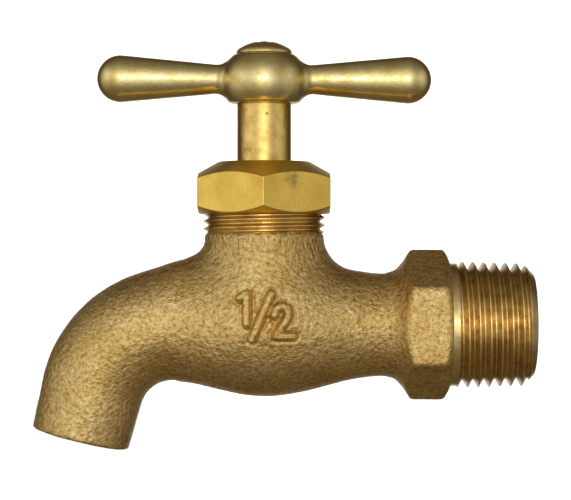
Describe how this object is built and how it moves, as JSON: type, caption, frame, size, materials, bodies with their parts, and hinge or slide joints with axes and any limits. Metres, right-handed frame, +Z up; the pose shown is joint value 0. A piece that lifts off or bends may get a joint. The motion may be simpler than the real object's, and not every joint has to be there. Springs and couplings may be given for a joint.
{
  "type": "hose bib",
  "caption": "Plain-nose compression hose bib with a male pipe inlet, hex packing nut and rising stem turned by a tee handle.",
  "frame": {"origin": "on the inlet axis at the hand-tight plane of the male pipe thread, 8.13 mm in from the inlet's end", "axes": "+X along the inlet axis, out of the valve towards the pipe; +Z up along the stem; the spout runs to -X and turns down; the tee handle lies along X with the valve closed"},
  "size_m": [0.0845, 0.0256, 0.069],
  "materials": {
    "cast_brass": "as cast, fine sand texture",
    "turned_brass": "machined, satin",
    "stem_brass": "turned, lightly toned",
    "polished_brass": "tumbled, half bright",
    "screw_brass": "half bright",
    "graphite_packing": "pressed graphite",
    "black_rubber": "matte"
  },
  "bodies": {
    "valve_body": {"body": "cast_brass", "packing_nut": "turned_brass", "packing_gland": "turned_brass", "packing": "graphite_packing", "packing_washer": "turned_brass"},
    "washer": {"seat_washer": "black_rubber"},
    "spindle": {"stem": "stem_brass", "washer_screw": "turned_brass", "tee_handle": "polished_brass", "handle_screw": "screw_brass"}
  },
  "joints": [
    {"name": "stem_rise", "type": "slide", "parent": "valve_body", "child": "washer", "axis": [0, 0, 1], "range_m": [0, 0.00635]},
    {"name": "handle_turn", "type": "hinge", "parent": "washer", "child": "spindle", "pos_m": [-0.0373, 0, 0], "axis": [0, 0, 1], "range_deg": [0, 900]}
  ],
  "couplings": [
    {"joint": "stem_rise", "follows": "handle_turn", "m_per_rad": 0.00040425}
  ]
}
